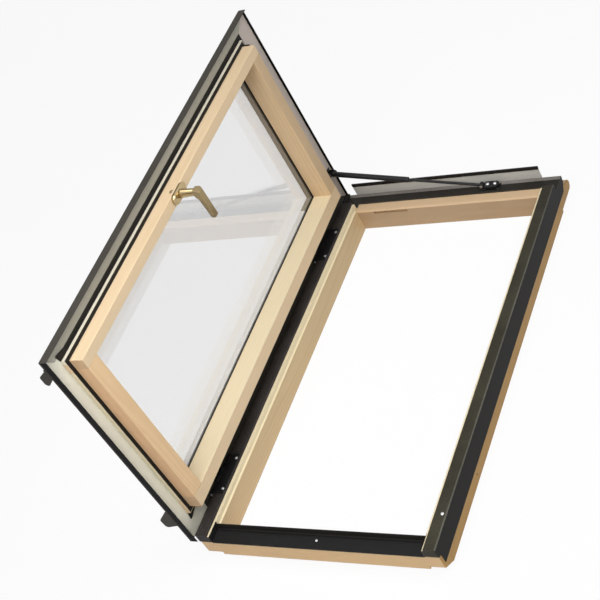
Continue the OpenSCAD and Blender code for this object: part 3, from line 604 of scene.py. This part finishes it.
class SKYLIGHT_OT_timber(bpy.types.Operator):
    """Give the frame and the sash their pine."""

    bl_idname = "skylight.timber"
    bl_label = "Timber"

    def execute(self, context):
        tint = colours()
        # The lips take painted light; the head's reveal and the lock jamb's outer side take painted
        # shade.
        lip_light = (JAMB_TOP, "SCREEN", tint.lip_light_tint)
        foot = (JAMB_END, "SCREEN", tint.foot_tint)
        painted_outer_shading = (OUTER_SIDE, "MULTIPLY", tint.outer_shade_tint)
        reveal_shade = (UNDER_SHELF, "MULTIPLY", tint.reveal_shade_tint)
        dress(pine("pine_hinge_jamb", "Y", tint.jamb_pine, (lip_light, foot)), ("jamb_hinge",))
        dress(pine("pine_lock_jamb", "Y", tint.jamb_pine, (lip_light, foot, painted_outer_shading)), ("jamb_lock",))
        dress(pine("pine_sill", "X", tint.sill_pine), ("frame_sill",))
        dress(pine("pine_head", "X", tint.head_pine, (reveal_shade,)), ("frame_head",))
        end = (LOW_END, "MULTIPLY", tint.end_tint)
        # The lock stile's step takes painted light; the hinge stile beside the glass takes painted
        # shade.
        step_light = (LOCK_STEP, "SCREEN", tint.step_light_tint)
        glass_side_shade = (HINGE_REVEAL, "MULTIPLY", tint.glass_side_shade_tint)
        rail_step = (RAIL_STEP, "SCREEN", tint.rail_step_tint)
        rail_side = (LOW_END, "MULTIPLY", tint.rail_side_tint)
        low_rail = pine("pine_low_rail", "Z", tint.low_rail_pine, (rail_step, rail_side))
        dress(pine("pine_lock_stile", "Y", tint.stile_pine, (end, step_light)), ("stile_lock",))
        dress(pine("pine_hinge_stile", "Y", tint.stile_pine, (end, glass_side_shade)), ("stile_hinge",))
        dress(low_rail, ("rail_bottom",))
        dress(pine("pine_head_rail", "Z", tint.head_rail_pine), ("rail_head",))
        return {"FINISHED"}


class SKYLIGHT_OT_covers(bpy.types.Operator):
    """Give the covers, the head plate and the backing strips their lacquer."""

    bl_idname = "skylight.covers"
    bl_label = "Covers and sheets"

    def execute(self, context):
        tint = colours()
        rear = ((REAR_STRIP, tint.rear_strip),)
        # The lock cover's outer side takes painted shade and its ridge a painted highlight.
        painted_outer_shading = ((OUTER_SIDE, tint.cover_side_shade), (OUTER_RIDGE, tint.ridge_highlight))
        skirt_shade_zone = ((SKIRT, tint.skirt_shade),)
        hinge = lacquered("lacquer_hinge_cover", tint.hinge_cover, 0.44, 0.55, shine=0.06)
        head = lacquered("lacquer_head_cover", tint.head_cover, 0.44, 0.30, shine=0.06, zones=rear)
        lock = lacquered("lacquer_lock_cover", tint.lock_cover, 0.44, 0.55, shine=0.06, zones=painted_outer_shading)
        sill = lacquered("lacquer_sill_cover", tint.sill_sheet, 0.50, 0.10, 0.1, shine=0.06)
        sides = lacquered("lacquer_sash_covers", tint.sash_cover, 0.44, 0.25, shine=0.1)
        ends = lacquered("lacquer_lower_covers", tint.sash_cover, 0.46, 0.25, shine=0.03, zones=skirt_shade_zone)
        dress(hinge, ("jamb_cover_hinge",))
        dress(head, ("head_cover",))
        dress(lock, ("jamb_cover_lock",))
        dress(sill, ("sill_cover",))
        dress(sides, SASH_COVERS)
        dress(ends, LOWER_COVERS)
        dress(lacquered("lacquer_head_plate", tint.head_plate, 0.48, 0.05, 0.0), ("head_plate",))
        dress(lacquered("lacquer_backing", tint.backing, 0.46, 0.06, 0.0), ("backing_lock",))
        # The backing strips are one grey lacquer; the head one takes a painted reflection and shade, the
        # lower one painted light, the hinge one painted shade.
        dress(lacquered("lacquer_head_backing", tint.head_backing_reflection, 0.46, 0.06, 0.0), ("backing_head",))
        dress(lacquered("lacquer_pale_backing", tint.pale_backing_light, 0.46, 0.05, 0.0), ("backing_bottom",))
        # Painted shade: the hinge backing strip takes the dark lock cover colour.
        dress(lacquered("lacquer_dark_backing", tint.lock_cover, 0.50, 0.20, 0.0), ("backing_hinge",))
        return {"FINISHED"}


class SKYLIGHT_OT_seals(bpy.types.Operator):
    """Give the gaskets, seals and trims their rubber."""

    bl_idname = "skylight.seals"
    bl_label = "Seals"

    def execute(self, context):
        tint = colours()
        dress(lacquered("rubber_seals", tint.rubber, 0.70, 0.15, 0.0, 900.0), SEALS)
        dress(lacquered("plastic_blocks", tint.block, 0.55, 0.10, 0.0), SETTING_BLOCKS)
        return {"FINISHED"}


class SKYLIGHT_OT_fittings(bpy.types.Operator):
    """Give the hinges, the stay, the screws, the lock and the handle their metals."""

    bl_idname = "skylight.fittings"
    bl_label = "Fittings"

    def execute(self, context):
        tint = colours()
        size = sizes()
        dress(lacquered("black_fittings", tint.black_paint, 0.34, 0.25, 0.25, 700.0), BLACK_FITTINGS)
        dress(brushed("bright_screws", "X", tint.steel, size.metal_edge), SCREWS)
        dress(brushed("zinc_steel", "Y", tint.steel, size.metal_edge), STEEL_PIECES)
        # The rosette and neck take a painted highlight, the handle's edges a painted dark reflection.
        neck_highlight = ((NECK_HIGHLIGHT, tint.brass_highlight),)
        brass = brushed("satin_brass", "Z", tint.brass, size.handle_edge, 0.62, 0.7, neck_highlight)
        dress(brass, HANDLE_PIECES)
        dress(brushed("yellow_zinc", "Z", tint.yellow_zinc, size.metal_edge), ("latch_bolt",))
        return {"FINISHED"}


class SKYLIGHT_OT_glazing(bpy.types.Operator):
    """Give the panes their glass and the spacer its aluminium, with painted shade on the spacer's leg at
    the head.
    """

    bl_idname = "skylight.glazing"
    bl_label = "Glazing"

    def execute(self, context):
        tint = colours()
        leg_shade = ((HEAD_LEG, tint.spacer_leg_shade),)
        bar = lacquered("spacer_bar", tint.spacer, 0.35, 0.10, 0.0, shine=0.5, zones=leg_shade)
        dress(clear_glass("float_glass"), PANES)
        dress(bar, ("spacer",))
        return {"FINISHED"}


class SKYLIGHT_OT_stage(bpy.types.Operator):
    """Lay the pale floor, set the light and place the camera."""

    bl_idname = "skylight.stage"
    bl_label = "Stage"

    def execute(self, context):
        scene = context.scene
        scene.view_settings.view_transform = "Standard"
        self.lay_floor(scene)
        self.light(scene)
        self.place_camera(scene)
        return {"FINISHED"}

    def seen_directly(self, t):
        """One for rays that show the background, nought for rays that light the object."""
        rays = t.add("ShaderNodeLightPath").outputs
        mirrored = t.math("MAXIMUM", rays["Is Glossy Ray"], rays["Is Transmission Ray"])
        return t.math("MAXIMUM", rays["Is Camera Ray"], mirrored)

    def lay_floor(self, scene):
        """A plain pale floor under the part, near white to the eye, with a soft shadow left on it."""
        half = sizes().floor_side / 2
        mesh = bpy.data.meshes.new("floor")
        corners = [(-half, -half, 0.0), (half, -half, 0.0), (half, half, 0.0), (-half, half, 0.0)]
        mesh.from_pydata(corners, [], [(0, 1, 2, 3)])
        floor = bpy.data.objects.new("floor", mesh)
        scene.collection.objects.link(floor)
        material = bpy.data.materials.new("pale_floor")
        material.use_nodes = True
        t = Tree(material.node_tree)
        shader = material.node_tree.nodes["Principled BSDF"]
        shader.inputs["Base Color"].default_value = rgba(colours().floor)
        shader.inputs["Roughness"].default_value = FLOOR_ROUGHNESS
        shader.inputs["Specular IOR Level"].default_value = 0.0
        white = t.add("ShaderNodeEmission")
        mixed = t.add("ShaderNodeMixShader")
        t.link(t.math("MULTIPLY", self.seen_directly(t), sizes().background), mixed.inputs[0])
        t.link(shader.outputs[0], mixed.inputs[1])
        t.link(white.outputs[0], mixed.inputs[2])
        t.link(mixed.outputs[0], material.node_tree.nodes["Material Output"].inputs["Surface"])
        mesh.materials.append(material)
        floor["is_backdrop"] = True

    def light(self, scene):
        """A white surround, three large soft lights and a small one that picks out the metal."""
        world = bpy.data.worlds.new("studio")
        world.use_nodes = True
        scene.world = world
        t = Tree(world.node_tree)
        background = world.node_tree.nodes["Background"]
        strength = t.remap(self.seen_directly(t), 0.0, 1.0, sizes().ambient, 1.0)
        background.inputs["Color"].default_value = (1.0, 1.0, 1.0, 1.0)
        t.link(strength, background.inputs["Strength"])
        low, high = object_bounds()
        middle = (low + high) / 2
        for name, side in LAMPS.items():
            lamp = bpy.data.lights.new(name, "AREA")
            lamp.shape = "SQUARE"
            lamp.size = getattr(sizes(), side)
            lamp.energy = getattr(sizes(), name + "_power")
            source = bpy.data.objects.new(name, lamp)
            source.location = getattr(sizes(), name + "_place")
            source.rotation_euler = (middle - source.location).to_track_quat("-Z", "Y").to_euler()
            source.visible_diffuse = name != "rim"
            scene.collection.objects.link(source)

    def place_camera(self, scene):
        """A camera at the photograph's viewing angle."""
        data = bpy.data.cameras.new("camera")
        data.sensor_width = sizes().sensor
        data.lens = sizes().lens
        data.clip_end = sizes().floor_side * 2
        camera = bpy.data.objects.new("camera", data)
        camera.location = sizes().camera_place
        camera.rotation_euler = sizes().camera_turn
        scene.collection.objects.link(camera)
        scene.camera = camera


OPERATORS = (
    SKYLIGHT_OT_timber,
    SKYLIGHT_OT_covers,
    SKYLIGHT_OT_seals,
    SKYLIGHT_OT_fittings,
    SKYLIGHT_OT_glazing,
    SKYLIGHT_OT_stage,
)


class SKYLIGHT_PT_panel(bpy.types.Panel):
    """Lists the steps and the values of the skylight's finishes."""

    bl_idname = "SKYLIGHT_PT_panel"
    bl_label = "Roof Skylight"
    bl_space_type = "VIEW_3D"
    bl_region_type = "UI"
    bl_category = "Skylight"

    def draw(self, context):
        for operator in OPERATORS:
            self.layout.operator(operator.bl_idname)
        for values in (context.scene.skylight_colours, context.scene.skylight_sizes):
            column = self.layout.column()
            for name in values.__annotations__:
                column.prop(values, name)


CLASSES = (SkylightColours, SkylightSizes) + OPERATORS + (SKYLIGHT_PT_panel,)


def register():
    """Registers the classes and hangs the values on the scene."""
    for item in CLASSES:
        bpy.utils.register_class(item)
    bpy.types.Scene.skylight_colours = PointerProperty(type=SkylightColours)
    bpy.types.Scene.skylight_sizes = PointerProperty(type=SkylightSizes)


def unregister():
    """Takes the values and the classes away again."""
    del bpy.types.Scene.skylight_sizes
    del bpy.types.Scene.skylight_colours
    for item in reversed(CLASSES):
        bpy.utils.unregister_class(item)


def main():
    """Builds the whole scene."""
    register()
    bpy.ops.skylight.timber()
    bpy.ops.skylight.covers()
    bpy.ops.skylight.seals()
    bpy.ops.skylight.fittings()
    bpy.ops.skylight.glazing()
    bpy.ops.skylight.stage()


if __name__ == "__main__":
    main()
